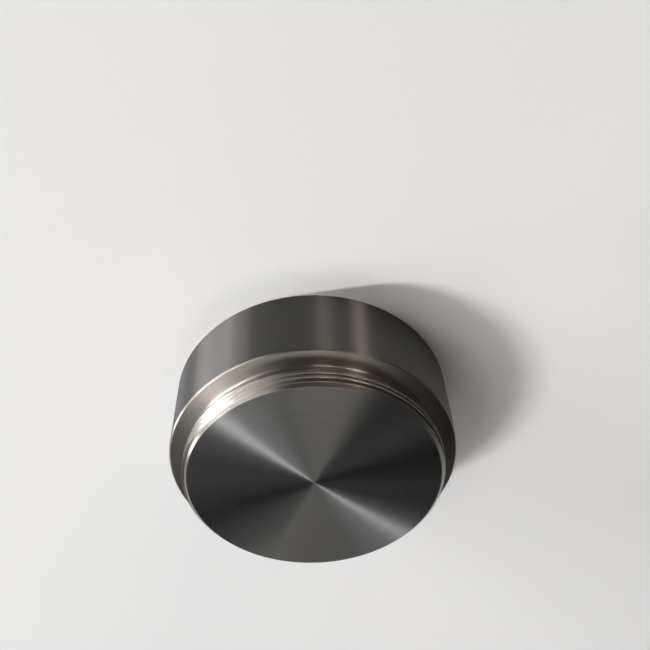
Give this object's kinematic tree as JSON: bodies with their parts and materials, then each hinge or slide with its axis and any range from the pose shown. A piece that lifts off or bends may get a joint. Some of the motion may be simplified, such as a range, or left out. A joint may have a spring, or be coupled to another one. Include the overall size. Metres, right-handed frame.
{
  "type": "sputtering target",
  "caption": "Solid round metal target disc with a flat shoulder and a threaded spigot that screws into a cathode holder; the plain face is evaporated.",
  "frame": {"origin": "centre of the flat sputtered face, which the target stands on", "axes": "+Z along the target's axis, from the sputtered face up through the threaded spigot"},
  "size_m": [0.1, 0.1, 0.04],
  "materials": {
    "turned_titanium": "fine-turned bare titanium, satin, with concentric tool marks on the spigot face"
  },
  "bodies": {
    "root": {"target_disc": "turned_titanium"}
  },
  "joints": []
}
